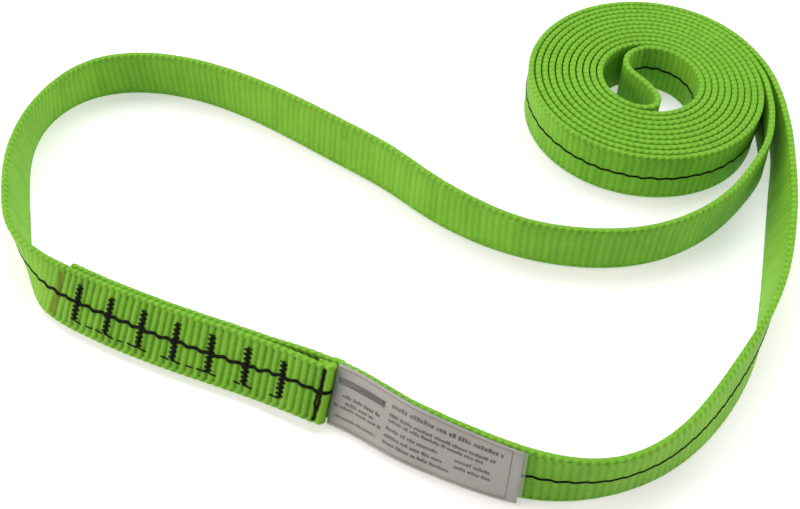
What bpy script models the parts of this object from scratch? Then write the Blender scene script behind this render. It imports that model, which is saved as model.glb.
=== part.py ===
# Endless 25 mm webbing lifting sling, half of it rolled up and half lying open as a loop.
# All lengths are in millimetres until a mesh is made, then in metres. +Z is up, the floor is Z = 0.
import math

import bmesh
import bpy
import numpy as np

# Webbing
WIDTH = 25.0
THICK = 2.7
SPLIT = 0.3
TRACER_H = (12.1, 12.9)

# Roll: outer radius at 3 o'clock, radius lost per layer, out-of-round every 30 degrees
ROLL_X = 117.0
ROLL_Y = 89.5
ROLL_R = 59.3
LAYER = 3.12
ROUND_ERR = (-1.0, -0.9, 0.1, 0.7, 0.8, 0.4, 0.2, 0.5, 0.9, 1.3, 1.6, 0.4)
CORE_SHIFT = 1.2
STEP_DEG = 8
LEAVE_TURN = 24
MAX_TWIST = 1.6
MAX_BEND = 7.0
MAX_STEP = 7.0
OUTER_END_TURN = 2040
INNER_END_TURN = 1888

# Where the roll swings on the two strands that leave it, and the cut-back on each side of that line
SWING_X = 56.4
SWING_Y = 1.0
SWING_CUT_OUTER = 1.7
SWING_CUT_INNER = 0.25

# Core fold, centre line measured from the roll centre
CORE = (
    (-4.4, -21.2),
    (-0.6, -20.2),
    (1.7, -17.4),
    (2.2, -13.6),
    (1.1, -9.7),
    (-0.9, -5.4),
    (-3.7, -1.0),
    (-6.6, 3.2),
    (-8.5, 7.4),
    (-8.9, 11.6),
    (-7.6, 16.0),
    (-4.6, 19.4),
    (-0.6, 21.5),
)

# Open loop: floor line of the webbing (x, y) and lean in degrees, positive towards the outer face
ROUTE = (
    (169.9, 98.8, 0),
    (171.5, 89.5, 0),
    (171.4, 79.5, 0),
    (170.4, 69.0, 0),
    (168.9, 58.5, 2),
    (165.8, 48.0, 3),
    (160.3, 38.6, 2),
    (152.4, 28.5, 0),
    (142.3, 17.5, -2),
    (123.2, 3.0, -3),
    (100.8, -5.4, -3),
    (76.9, -6.4, -3),
    (53.5, -1.4, -3),
    (31.7, 8.4, 2),
    (12.1, 22.2, 6),
    (-5.6, 38.4, 8),
    (-24.7, 53.0, 9),
    (-44.0, 67.2, 9),
    (-63.5, 81.2, 7),
    (-83.9, 93.7, 4),
    (-106.0, 103.1, 1),
    (-129.6, 107.1, -3),
    (-152.7, 101.8, -9),
    (-168.8, 84.6, -13),
    (-173.4, 61.3, -6),
    (-169.8, 37.6, 6),
    (-164.0, 14.3, 10),
    (-157.6, -8.8, 2),
    (-146.5, -29.7, -26),
    (-127.0, -44.0, -37),
    (-105.5, -54.9, -41),
    (-83.2, -64.1, -40),
    (-60.8, -72.6, -37),
    (-38.5, -81.8, -32),
    (-16.8, -91.6, -28),
    (4.7, -101.5, -23),
    (26.7, -111.0, -18),
    (49.9, -117.0, -10),
    (73.7, -115.3, 0),
    (96.1, -106.9, -2),
    (115.1, -92.4, -8),
    (130.4, -74.0, -9),
    (142.0, -53.0, -2),
    (149.9, -30.4, 8),
    (156.4, -7.3, 13),
    (162.8, 15.8, 13),
    (169.2, 38.6, 8),
    (173.6, 54.0, 3),
    (175.8, 65.5, 0),
    (176.2, 76.5, 0),
    (175.7, 86.5, 0),
    (174.4, 95.5, 0),
)
MIDDLE = (1.6, 14.0)

# Splice, sewn with seven bar tacks, and the folded hem that holds the label
SPLICE_LENGTH = 124.1
SPLICE_FROM = (-141.0, -35.0)
RAMP = 25.0
LAYER_GAP = 0.3
TACK_COUNT = 7
TACK_FIRST = 10.3
TACK_PITCH = 15.65
TACK_HEIGHT = 15.5
TACK_TEETH = 8
TACK_HALF = 1.25
TACK_CORE_HALF = 0.6
BACK_RISE = 0.6
HEM_RETURN = 8.0
HEM_SPREAD = 26.0
HEM_FRONT = 2.6
HEM_MID = -0.25
HEM_BACK = -3.3

# Label: clear sleeve with a printed insert
LABEL_LENGTH = 77.8
LABEL_HEIGHT = 27.2
LABEL_LOW = -0.8
INSERT_HEIGHT = 26.0

GREEN = (0.25, 0.55, 0.06)
GREEN_EDGE = (0.30, 0.60, 0.09)
BLACK = (0.010, 0.012, 0.008)
SILVER = (0.55, 0.56, 0.56)
FILM = (0.80, 0.82, 0.82)
PRINT = (0.30, 0.12, 0.08)
INK = (0.32, 0.26, 0.06)

materials = {}


def clear_scene():
    for ob in list(bpy.data.objects):
        bpy.data.objects.remove(ob)


def material(name, colour, rough, metallic):
    if name in materials:
        return materials[name]
    mat = bpy.data.materials.new(name)
    mat.use_nodes = True
    node = mat.node_tree.nodes["Principled BSDF"]
    node.inputs["Base Color"].default_value = (colour[0], colour[1], colour[2], 1.0)
    node.inputs["Roughness"].default_value = rough
    node.inputs["Metallic"].default_value = metallic
    mat.diffuse_color = (colour[0], colour[1], colour[2], 1.0)
    materials[name] = mat
    return mat


def make_object(name, verts, faces, look, smooth):
    mesh = bpy.data.meshes.new(name)
    mesh.from_pydata([tuple(v) for v in verts], [], faces)
    mesh.validate()
    work = bmesh.new()
    work.from_mesh(mesh)
    bmesh.ops.recalc_face_normals(work, faces=work.faces)
    bmesh.ops.triangulate(work, faces=work.faces)
    work.to_mesh(mesh)
    work.free()
    mesh.materials.append(material(*look))
    for poly in mesh.polygons:
        poly.use_smooth = smooth
    ob = bpy.data.objects.new(name, mesh)
    bpy.context.scene.collection.objects.link(ob)
    return ob


def natural_spline(points, per_span):
    # Cubic spline on chord length; returns samples and the sample index of each given point
    pts = np.array(points, dtype=float)
    chord = np.linalg.norm(np.diff(pts[:, :2], axis=0), axis=1)
    knots = np.concatenate([[0.0], np.cumsum(chord)])
    count = len(pts)
    matrix = np.zeros((count, count))
    right = np.zeros_like(pts)
    matrix[0, 0] = 1.0
    matrix[-1, -1] = 1.0
    for i in range(1, count - 1):
        a = knots[i] - knots[i - 1]
        b = knots[i + 1] - knots[i]
        matrix[i, i - 1] = a / 6.0
        matrix[i, i] = (a + b) / 3.0
        matrix[i, i + 1] = b / 6.0
        right[i] = (pts[i + 1] - pts[i]) / b - (pts[i] - pts[i - 1]) / a
    bend = np.linalg.solve(matrix, right)
    out = []
    index = []
    for i in range(count - 1):
        span = knots[i + 1] - knots[i]
        steps = max(2, int(math.ceil(span / per_span)))
        index.append(len(out))
        for j in range(steps):
            u = j / steps
            v = 1.0 - u
            cubic = (v ** 3 - v) * bend[i] + (u ** 3 - u) * bend[i + 1]
            out.append(v * pts[i] + u * pts[i + 1] + cubic * span * span / 6.0)
    index.append(len(out))
    out.append(pts[-1])
    return np.array(out), index


def out_of_round(turn):
    place = (turn % 360.0) / 30.0
    i = int(place)
    u = place - i
    a = ROUND_ERR[(i - 1) % 12]
    b = ROUND_ERR[i % 12]
    c = ROUND_ERR[(i + 1) % 12]
    d = ROUND_ERR[(i + 2) % 12]
    first = c - a
    second = 2 * a - 5 * b + 4 * c - d
    third = 3 * b - a + d - 3 * c
    return b + 0.5 * u * (first + u * (second + u * third))


def spiral(turn, strand):
    # Centre line of one wound strand; strand 0 is the outer one of the pair, 1 the inner one
    level = 2.0 * turn / 360.0 + strand
    r = ROLL_R - THICK / 2 - LAYER * level + out_of_round(turn) * (1.0 - 0.06 * level)
    a = math.radians(turn)
    x = ROLL_X + CORE_SHIFT * level / 12.0 + r * math.cos(a)
    y = ROLL_Y + r * math.sin(a)
    return (x, y, 0.0)


def build_path():
    # The closed tape, from the end of the outer strand in the core all round to that end again
    marks = {}
    start = [spiral(OUTER_END_TURN - STEP_DEG * i, 0) for i in (2, 1, 0)]
    core = [(ROLL_X + x, ROLL_Y + y, 0.0) for x, y in CORE]
    after = [spiral(INNER_END_TURN - STEP_DEG * i, 1) for i in (0, 1, 2)]
    dense, index = natural_spline(start + core + after, 0.4)
    first = index[2]
    last = index[2 + len(core) + 1]
    path = [dense[i] for i in range(first, last)]
    marks["fold_from"] = 0
    marks["inner_from"] = len(path)
    turn = INNER_END_TURN
    while turn > LEAVE_TURN:
        path.append(np.array(spiral(turn, 1)))
        turn -= 1
    marks["loop_from"] = len(path)
    lead = [spiral(LEAVE_TURN + 8 * i, 1) for i in (2, 1, 0)]
    tail = [spiral(LEAVE_TURN + 8 * i, 0) for i in (0, 1, 2)]
    dense, index = natural_spline(lead + list(ROUTE) + tail, 0.8)
    first = index[2]
    last = index[2 + len(ROUTE) + 1]
    path += [dense[i] for i in range(first, last)]
    marks["outer_from"] = len(path)
    turn = LEAVE_TURN
    while turn <= OUTER_END_TURN:
        path.append(np.array(spiral(turn, 0)))
        turn += 1
    return np.array(path), marks


clear_scene()
PATH, MARKS = build_path()
PATH[:, 0] -= MIDDLE[0]
PATH[:, 1] -= MIDDLE[1]
PLACE = np.concatenate([[0.0], np.cumsum(np.linalg.norm(np.diff(PATH[:, :2], axis=0), axis=1))])
TANGENT = np.gradient(PATH[:, :2], PLACE, axis=0)
TANGENT /= np.linalg.norm(TANGENT, axis=1)[:, None]
ROLL_C = (ROLL_X - MIDDLE[0], ROLL_Y - MIDDLE[1])
SWING_LINE = ROLL_C[1] + SWING_Y


def smooth_step(a, b, x):
    u = min(1.0, max(0.0, (x - a) / (b - a)))
    return u * u * (3.0 - 2.0 * u)


def nearest(x, y):
    gap = np.hypot(PATH[:, 0] - (x - MIDDLE[0]), PATH[:, 1] - (y - MIDDLE[1]))
    gap[: MARKS["loop_from"]] = 1e9
    gap[MARKS["outer_from"]:] = 1e9
    return float(PLACE[int(np.argmin(gap))])


S_SPLICE = nearest(*SPLICE_FROM)
S_HEM = S_SPLICE + SPLICE_LENGTH


def single_layer(s):
    return 0.0


def front_layer(s):
    half = (THICK + LAYER_GAP) / 2
    rise = half * smooth_step(S_SPLICE - RAMP, S_SPLICE, s)
    return rise + (HEM_FRONT - half) * smooth_step(S_HEM - HEM_RETURN - HEM_SPREAD, S_HEM - HEM_RETURN, s)


def back_layer(s):
    half = (THICK + LAYER_GAP) / 2
    start = -half * smooth_step(S_SPLICE - RAMP, S_SPLICE, s)
    down = start + (HEM_BACK + half) * smooth_step(S_HEM - HEM_RETURN - HEM_SPREAD, S_HEM - HEM_RETURN, s)
    return down * (1.0 - smooth_step(S_HEM + 2.0, S_HEM + 2.0 + 1.4 * RAMP, s))


def back_rise(s):
    # The back layer is sewn a little higher than the front one
    return BACK_RISE * (1.0 - smooth_step(S_HEM, S_HEM + RAMP, s)) * smooth_step(S_SPLICE - RAMP, S_SPLICE, s)


def frame_at(s):
    # Floor point, face normal (outer side) and up direction of the webbing at length s
    x = np.interp(s, PLACE, PATH[:, 0])
    y = np.interp(s, PLACE, PATH[:, 1])
    lean = math.radians(np.interp(s, PLACE, PATH[:, 2]))
    tx = np.interp(s, PLACE, TANGENT[:, 0])
    ty = np.interp(s, PLACE, TANGENT[:, 1])
    size = math.hypot(tx, ty)
    nx = ty / size
    ny = -tx / size
    rest = abs(math.sin(lean)) * (THICK / 2 - back_layer(s)) - math.cos(lean) * back_rise(s)
    base = np.array([x, y, max(rest, THICK / 2 * abs(math.sin(lean)))])
    normal = np.array([math.cos(lean) * nx, math.cos(lean) * ny, -math.sin(lean)])
    up = np.array([math.sin(lean) * nx, math.sin(lean) * ny, math.cos(lean)])
    return base, normal, up


def point(s, height, offset):
    base, normal, up = frame_at(s)
    return (base + normal * offset + up * height) * 0.001


def crossing(lo, hi):
    # Length at which the path crosses the swing line between two sample indices
    for i in range(lo, hi):
        a = PATH[i, 1] - SWING_LINE
        b = PATH[i + 1, 1] - SWING_LINE
        if a * b <= 0.0:
            return PLACE[i] + (PLACE[i + 1] - PLACE[i]) * abs(a) / (abs(a) + abs(b) + 1e-9)
    raise ValueError("the strand does not cross the swing line")


S_INNER_SWING = crossing(MARKS["loop_from"] - 5, MARKS["loop_from"] + 80)
S_OUTER_SWING = crossing(MARKS["outer_from"] - 80, MARKS["outer_from"] + 5)


def ring_body(name, rings, look, closed_ends=True):
    # Sweeps a closed section; every ring has the same number of points
    verts = []
    faces = []
    size = len(rings[0])
    for ring in rings:
        verts += list(ring)
    for i in range(len(rings) - 1):
        for j in range(size):
            k = (j + 1) % size
            a = i * size
            b = a + size
            faces.append((a + j, a + k, b + k, b + j))
    if closed_ends:
        faces.append(tuple(range(size)))
        end = (len(rings) - 1) * size
        faces.append(tuple(range(end + size - 1, end - 1, -1)))
    return make_object(name, verts, faces, look, False)


def strip(name, stations, layer, heights, near, far, look):
    # Rectangular strip that follows a layer; near and far are offsets from the layer's centre
    rings = []
    for s in stations:
        mid = layer(s)
        low = heights[0]
        high = heights[1]
        if layer is back_layer:
            low += back_rise(s)
            high += back_rise(s)
        ring = [
            point(s, low, mid + near),
            point(s, low, mid + far),
            point(s, high, mid + far),
            point(s, high, mid + near),
        ]
        rings.append(ring)
    return ring_body(name, rings, look)


def even(a, b, step):
    count = max(1, int(math.ceil((b - a) / step)))
    return [a + (b - a) * i / count for i in range(count + 1)]


def follow(a, b):
    # Stations close enough together that the lean and the heading change little between two of them
    out = [a]
    last = frame_at(a)
    s = a
    while s < b - 0.8:
        s += 0.4
        now = frame_at(s)
        twist = math.degrees(math.acos(min(1.0, float(np.dot(now[2], last[2])))))
        bend = math.degrees(math.acos(min(1.0, float(np.dot(now[1], last[1])))))
        if twist > MAX_TWIST or bend > MAX_BEND or s - out[-1] > MAX_STEP:
            out.append(s)
            last = now
    out.append(b)
    return out


def spiral_stations(lo_turn, hi_turn, strand):
    # Lengths at whole steps of angle, so that wound layers share their corners
    out = []
    first = int(math.ceil(lo_turn / STEP_DEG))
    last = int(math.floor(hi_turn / STEP_DEG))
    for i in range(first, last + 1):
        turn = i * STEP_DEG
        if strand == 1:
            index = MARKS["inner_from"] + (INNER_END_TURN - turn)
        else:
            index = MARKS["outer_from"] + (turn - LEAVE_TURN)
        out.append(float(PLACE[index]))
    return sorted(out)


WEB = ("webbing", GREEN, 0.75, 0.0)
YARN = ("tracer_yarn", BLACK, 0.7, 0.0)
THREAD = ("stitch_thread", BLACK, 0.6, 0.0)
HALF = THICK / 2

# Roll: two wound strands and the fold that joins them in the core
s_fold_a = PLACE[0] + SPLIT / 2
s_fold_b = PLACE[MARKS["inner_from"]] - SPLIT / 2
strip("web_core_fold", even(s_fold_a, s_fold_b, 2.0), single_layer, (0, WIDTH), -HALF, HALF, WEB)

inner = spiral_stations(LEAVE_TURN + 1, INNER_END_TURN - 1, 1)
inner = [float(PLACE[MARKS["inner_from"]]) + SPLIT / 2] + inner
inner += even(inner[-1], S_INNER_SWING - SWING_CUT_INNER, 6.0)[1:]
strip("web_roll_inner", inner, single_layer, (0, WIDTH), -HALF, HALF, WEB)

outer = spiral_stations(LEAVE_TURN + 1, OUTER_END_TURN - 1, 0)
outer = even(S_OUTER_SWING + SWING_CUT_OUTER, outer[0], 6.0)[:-1] + outer
outer += [float(PLACE[-1]) - SPLIT / 2]
strip("web_roll_outer", outer, single_layer, (0, WIDTH), -HALF, HALF, WEB)

# Open loop
s_upper = nearest(-72.0, 87.0)
s_left = nearest(-157.0, -11.0)
s_right = nearest(20.0, -108.5)
s_run = nearest(147.0, -39.0)
s_fold_root = S_HEM - HEM_RETURN
strip("web_upper_run", follow(S_INNER_SWING + SWING_CUT_INNER, s_upper - SPLIT / 2),
      single_layer, (0, WIDTH), -HALF, HALF, WEB)
strip("web_left_bend", follow(s_upper + SPLIT / 2, s_left - SPLIT / 2),
      single_layer, (0, WIDTH), -HALF, HALF, WEB)
strip("web_splice_front", follow(s_left + SPLIT / 2, s_fold_root - SPLIT / 2),
      front_layer, (0, WIDTH), -HALF, HALF, WEB)
strip("web_splice_back", follow(S_SPLICE, s_right - SPLIT / 2),
      back_layer, (0, WIDTH), -HALF, HALF, WEB)
strip("web_right_bend", follow(s_right + SPLIT / 2, s_run - SPLIT / 2),
      single_layer, (0, WIDTH), -HALF, HALF, WEB)
strip("web_right_run", follow(s_run + SPLIT / 2, S_OUTER_SWING - SWING_CUT_OUTER),
      single_layer, (0, WIDTH), -HALF, HALF, WEB)


def hem_rings():
    # Front leg, round turn and return leg, as one U of constant thickness
    middle = (HEM_FRONT + HEM_MID) / 2
    radius = (HEM_FRONT - HEM_MID) / 2
    line = []
    for s in even(s_fold_root + SPLIT / 2, S_HEM - radius - HALF, 2.5):
        line.append((s, HEM_FRONT, 0.0, 1.0))
    for i in range(1, 8):
        a = math.pi * i / 8
        s = S_HEM - radius - HALF + radius * math.sin(a)
        line.append((s, middle + radius * math.cos(a), math.sin(a), math.cos(a)))
    for s in reversed(even(s_fold_root, S_HEM - radius - HALF, 2.5)):
        line.append((s, HEM_MID, 0.0, -1.0))
    rings = []
    for s, off, ds, dn in line:
        ring = []
        for side, height in ((-1, 0), (1, 0), (1, WIDTH), (-1, WIDTH)):
            place = s + side * HALF * ds
            across = off + side * HALF * dn
            ring.append(point(place, height, across))
        rings.append(ring)
    return rings


ring_body("web_hem_fold", hem_rings(), WEB)

# Tracer yarn on the outer face
lo, hi = TRACER_H
T0 = HALF + 0.25
T1 = HALF + 0.45
strip("tracer_upper", follow(S_INNER_SWING + 1.0, s_upper - 0.5), single_layer, TRACER_H, T0, T1, YARN)
strip("tracer_left", follow(s_upper + 0.5, s_left - 0.5), single_layer, TRACER_H, T0, T1, YARN)
strip("tracer_splice", follow(s_left + 0.5, S_HEM - 4.5), front_layer, TRACER_H, T0, T1, YARN)
strip("tracer_right", follow(S_HEM + 3.0, S_OUTER_SWING - SWING_CUT_OUTER - 0.3),
      back_layer, TRACER_H, T0, T1, YARN)
turns = spiral_stations(LEAVE_TURN + 1, 336, 0)
turns = even(S_OUTER_SWING + SWING_CUT_OUTER + 0.3, turns[0], 6.0)[:-1] + turns
strip("tracer_roll", turns, single_layer, TRACER_H, T0, T1, YARN)
turns = spiral_stations(1730, INNER_END_TURN - 2, 1)
strip("tracer_core", turns, single_layer, TRACER_H, T0, T1, YARN)
s_bend = float(PLACE[0]) + 14.0
strip("tracer_fold", even(s_bend, s_fold_b - 1.0, 2.0), single_layer, TRACER_H, T0, T1, YARN)


def bar_tack(name, s_mid):
    # Zigzag bar of thread across the webbing, toothed on both sides
    rows = 2 * TACK_TEETH + 1
    low = (WIDTH - TACK_HEIGHT) / 2
    rings = []
    for i in range(rows):
        height = low + TACK_HEIGHT * i / (rows - 1)
        left = TACK_HALF if i % 2 else TACK_CORE_HALF
        right = TACK_CORE_HALF if i % 2 else TACK_HALF
        ring = []
        for side, depth in ((-left, 0.65), (right, 0.65), (right, 1.05), (-left, 1.05)):
            s = s_mid + side
            mid = front_layer(s)
            ring.append(point(s, height, mid + HALF + depth))
        rings.append(ring)
    ring_body(name, rings, THREAD)


for i in range(TACK_COUNT):
    bar_tack("bar_tack_%d" % (i + 1), S_SPLICE + TACK_FIRST + TACK_PITCH * i)

s_tack_a = S_SPLICE + TACK_FIRST
s_tack_b = s_tack_a + TACK_PITCH * (TACK_COUNT - 1)
strip("edge_stitch", follow(s_tack_a, s_tack_b), front_layer, (3.6, 4.2), HALF + 0.3, HALF + 0.6, THREAD)


def hem_layer(s):
    return HEM_FRONT


for i, back in enumerate((4.5, 3.3)):
    s = S_HEM - back
    strip("hem_stitch_%d" % (i + 1), [s - 0.35, s + 0.35], hem_layer, (1.6, 23.2),
          HALF + 0.65, HALF + 1.05, THREAD)

# Faint inspection ink mark across the webbing, just before the first tack
s_ink = S_SPLICE - 0.9
strip("ink_mark", [s_ink - 1.1, s_ink + 1.1], front_layer, (1.0, 11.6), HALF + 0.3, HALF + 0.4,
      ("ink", INK, 0.8, 0.0))

# Label, hinged at the hem
s_label = S_HEM + 0.6


def label_layer(s):
    # Stands a little clear of the outer face of the back layer
    base = back_layer(s) + HALF + 1.5
    return base + 0.9 * smooth_step(s_label, s_label + 30.0, s)


def sleeve():
    half_h = LABEL_HEIGHT / 2
    mid_h = LABEL_LOW + LABEL_HEIGHT / 2
    rings = []
    for s in follow(s_label, s_label + LABEL_LENGTH):
        mid = label_layer(s)
        ring = []
        for across, high in ((-0.9, half_h), (0.9, half_h), (0.9, -half_h), (-0.9, -half_h)):
            ring.append(point(s, mid_h + high, mid + across))
        for across, high in ((-0.65, half_h - 0.5), (0.65, half_h - 0.5), (0.65, 0.5 - half_h), (-0.65, 0.5 - half_h)):
            ring.append(point(s, mid_h + high, mid + across))
        rings.append(ring)
    verts = []
    faces = []
    for ring in rings:
        verts += ring
    for i in range(len(rings) - 1):
        a = 8 * i
        b = a + 8
        for start in (0, 4):
            for j in range(4):
                k = (j + 1) % 4
                faces.append((a + start + j, a + start + k, b + start + k, b + start + j))
    for a in (0, 8 * (len(rings) - 1)):
        for j in range(4):
            k = (j + 1) % 4
            faces.append((a + j, a + k, a + 4 + k, a + 4 + j))
    make_object("label_sleeve", verts, faces, ("clear_film", FILM, 0.25, 0.0), False)


sleeve()


def insert_strip(name, stations, heights, near, far, look):
    rings = []
    for s in stations:
        mid = label_layer(s)
        ring = []
        for height, across in ((heights[0], near), (heights[0], far), (heights[1], far), (heights[1], near)):
            ring.append(point(s, height, mid + across))
        rings.append(ring)
    ring_body(name, rings, look)


low_insert = LABEL_LOW + (LABEL_HEIGHT - INSERT_HEIGHT) / 2
high_insert = low_insert + INSERT_HEIGHT
insert_strip("label_insert", follow(s_label + 1.0, s_label + LABEL_LENGTH - 1.5),
             (low_insert, high_insert), -0.4, -0.1, ("label_stock", SILVER, 0.5, 0.0))


def print_border():
    # One thin printed frame line on the insert
    low = low_insert + 1.0
    high = high_insert - 1.0
    line = 0.35
    stations = follow(s_label + 1.5, s_label + LABEL_LENGTH - 5.5)
    stations = [stations[0], stations[0] + line] + stations[1:-1] + [stations[-1] - line, stations[-1]]
    rows = [low, low + line, high - line, high]
    verts = []
    for across in (0.2, 0.35):
        for s in stations:
            mid = label_layer(s)
            for height in rows:
                verts.append(point(s, height, mid + across))
    n = len(stations)
    cells = set()
    for i in range(n - 1):
        for j in range(3):
            if i in (0, n - 2) or j != 1:
                cells.add((i, j))

    def vid(side, i, j):
        return side * n * 4 + i * 4 + j

    faces = []
    for i, j in sorted(cells):
        faces.append((vid(1, i, j), vid(1, i + 1, j), vid(1, i + 1, j + 1), vid(1, i, j + 1)))
        faces.append((vid(0, i, j), vid(0, i, j + 1), vid(0, i + 1, j + 1), vid(0, i + 1, j)))
        edges = (
            ((i - 1, j), (i, j), (i, j + 1)),
            ((i + 1, j), (i + 1, j + 1), (i + 1, j)),
            ((i, j - 1), (i + 1, j), (i, j)),
            ((i, j + 1), (i, j + 1), (i + 1, j + 1)),
        )
        for other, p, q in edges:
            if other not in cells:
                faces.append((vid(0, *p), vid(0, *q), vid(1, *q), vid(1, *p)))
    make_object("label_border", verts, faces, ("label_print", PRINT, 0.6, 0.0), False)


print_border()
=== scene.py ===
import math

import bpy
import numpy as np
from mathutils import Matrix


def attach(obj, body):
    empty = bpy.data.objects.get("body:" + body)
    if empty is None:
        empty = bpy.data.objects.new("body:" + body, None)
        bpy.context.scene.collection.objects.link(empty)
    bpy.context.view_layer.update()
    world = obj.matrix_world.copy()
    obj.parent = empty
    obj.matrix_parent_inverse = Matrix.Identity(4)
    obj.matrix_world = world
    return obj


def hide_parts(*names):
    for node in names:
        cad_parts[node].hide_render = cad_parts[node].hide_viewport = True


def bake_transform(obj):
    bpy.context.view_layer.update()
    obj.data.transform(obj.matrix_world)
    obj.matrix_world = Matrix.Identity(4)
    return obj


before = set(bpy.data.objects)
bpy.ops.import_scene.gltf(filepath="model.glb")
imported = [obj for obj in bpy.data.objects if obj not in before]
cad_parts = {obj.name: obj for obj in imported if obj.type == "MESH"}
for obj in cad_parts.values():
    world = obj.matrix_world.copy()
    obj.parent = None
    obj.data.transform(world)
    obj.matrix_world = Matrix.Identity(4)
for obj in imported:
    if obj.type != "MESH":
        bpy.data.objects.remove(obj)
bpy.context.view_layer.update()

MM = 0.001

# ---------------------------------------------------------------- the tape's path, as in the CAD model
WIDTH = 25.0
THICK = 2.7
HALF = THICK / 2
ROLL_X = 117.0
ROLL_Y = 89.5
ROLL_R = 59.3
LAYER = 3.12
ROUND_ERR = (-1.0, -0.9, 0.1, 0.7, 0.8, 0.4, 0.2, 0.5, 0.9, 1.3, 1.6, 0.4)
CORE_SHIFT = 1.2
STEP_DEG = 8
LEAVE_TURN = 24
OUTER_END_TURN = 2040
INNER_END_TURN = 1888
SWING_Y = 1.0
MIDDLE = (1.6, 14.0)

CORE = (
    (-4.4, -21.2),
    (-0.6, -20.2),
    (1.7, -17.4),
    (2.2, -13.6),
    (1.1, -9.7),
    (-0.9, -5.4),
    (-3.7, -1.0),
    (-6.6, 3.2),
    (-8.5, 7.4),
    (-8.9, 11.6),
    (-7.6, 16.0),
    (-4.6, 19.4),
    (-0.6, 21.5),
)

# Floor line of the open loop (x, y) and lean in degrees, positive towards the outer face
ROUTE = (
    (169.9, 98.8, 0),
    (171.5, 89.5, 0),
    (171.4, 79.5, 0),
    (170.4, 69.0, 0),
    (168.9, 58.5, 2),
    (165.8, 48.0, 3),
    (160.3, 38.6, 2),
    (152.4, 28.5, 0),
    (142.3, 17.5, -2),
    (123.2, 3.0, -3),
    (100.8, -5.4, -3),
    (76.9, -6.4, -3),
    (53.5, -1.4, -3),
    (31.7, 8.4, 2),
    (12.1, 22.2, 6),
    (-5.6, 38.4, 8),
    (-24.7, 53.0, 9),
    (-44.0, 67.2, 9),
    (-63.5, 81.2, 7),
    (-83.9, 93.7, 4),
    (-106.0, 103.1, 1),
    (-129.6, 107.1, -3),
    (-152.7, 101.8, -9),
    (-168.8, 84.6, -13),
    (-173.4, 61.3, -6),
    (-169.8, 37.6, 6),
    (-164.0, 14.3, 10),
    (-157.6, -8.8, 2),
    (-146.5, -29.7, -26),
    (-127.0, -44.0, -37),
    (-105.5, -54.9, -41),
    (-83.2, -64.1, -40),
    (-60.8, -72.6, -37),
    (-38.5, -81.8, -32),
    (-16.8, -91.6, -28),
    (4.7, -101.5, -23),
    (26.7, -111.0, -18),
    (49.9, -117.0, -10),
    (73.7, -115.3, 0),
    (96.1, -106.9, -2),
    (115.1, -92.4, -8),
    (130.4, -74.0, -9),
    (142.0, -53.0, -2),
    (149.9, -30.4, 8),
    (156.4, -7.3, 13),
    (162.8, 15.8, 13),
    (169.2, 38.6, 8),
    (173.6, 54.0, 3),
    (175.8, 65.5, 0),
    (176.2, 76.5, 0),
    (175.7, 86.5, 0),
    (174.4, 95.5, 0),
)

# Splice and hem
SPLICE_LENGTH = 124.1
SPLICE_FROM = (-141.0, -35.0)
RAMP = 25.0
LAYER_GAP = 0.3
TACK_COUNT = 7
TACK_FIRST = 10.3
TACK_PITCH = 15.65
TACK_HEIGHT = 15.5
TACK_LEAN = -0.045
TACK_STROKES = 17
TACK_REACH = 1.7
TACK_TOOTH = 0.24
TACK_CORE = 0.29
HEM_THREAD = 0.42
EDGE_THREAD = 0.3
THREAD_SIDES = 8
BACK_RISE = 0.6
HEM_RETURN = 8.0
HEM_SPREAD = 26.0
HEM_FRONT = 2.6
HEM_MID = -0.25
HEM_BACK = -3.3
LABEL_FROM_HEM = 0.6
LABEL_LENGTH = 77.8
LABEL_HEIGHT = 27.2
LABEL_LOW = -0.8
INSERT_HEIGHT = 26.0
CARD_STEP = 1.6

# Weave of the tape
RIB = 3.15
STATION_STEP = RIB / 6
RIB_DEPTH = 0.12
SPLICE_RIB_DEPTH = 0.36
EDGE_ROUND = 1.3
EDGE_DEPTH = 0.12
SPLICE_EDGE_DEPTH = 0.34
EDGE_SWELL = 0.12
PIT_DEPTH = 0.3


def natural_spline(points, per_span):
    # Cubic spline on chord length; returns samples and the sample index of each given point
    pts = np.array(points, dtype=float)
    chord = np.linalg.norm(np.diff(pts[:, :2], axis=0), axis=1)
    knots = np.concatenate([[0.0], np.cumsum(chord)])
    count = len(pts)
    matrix = np.zeros((count, count))
    right = np.zeros_like(pts)
    matrix[0, 0] = 1.0
    matrix[-1, -1] = 1.0
    for i in range(1, count - 1):
        a = knots[i] - knots[i - 1]
        b = knots[i + 1] - knots[i]
        matrix[i, i - 1] = a / 6.0
        matrix[i, i] = (a + b) / 3.0
        matrix[i, i + 1] = b / 6.0
        right[i] = (pts[i + 1] - pts[i]) / b - (pts[i] - pts[i - 1]) / a
    bend = np.linalg.solve(matrix, right)
    out = []
    index = []
    for i in range(count - 1):
        span = knots[i + 1] - knots[i]
        steps = max(2, int(math.ceil(span / per_span)))
        index.append(len(out))
        for j in range(steps):
            u = j / steps
            v = 1.0 - u
            cubic = (v ** 3 - v) * bend[i] + (u ** 3 - u) * bend[i + 1]
            out.append(v * pts[i] + u * pts[i + 1] + cubic * span * span / 6.0)
    index.append(len(out))
    out.append(pts[-1])
    return np.array(out), index


def out_of_round(turn):
    place = (turn % 360.0) / 30.0
    i = int(place)
    u = place - i
    a = ROUND_ERR[(i - 1) % 12]
    b = ROUND_ERR[i % 12]
    c = ROUND_ERR[(i + 1) % 12]
    d = ROUND_ERR[(i + 2) % 12]
    first = c - a
    second = 2 * a - 5 * b + 4 * c - d
    third = 3 * b - a + d - 3 * c
    return b + 0.5 * u * (first + u * (second + u * third))


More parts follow.
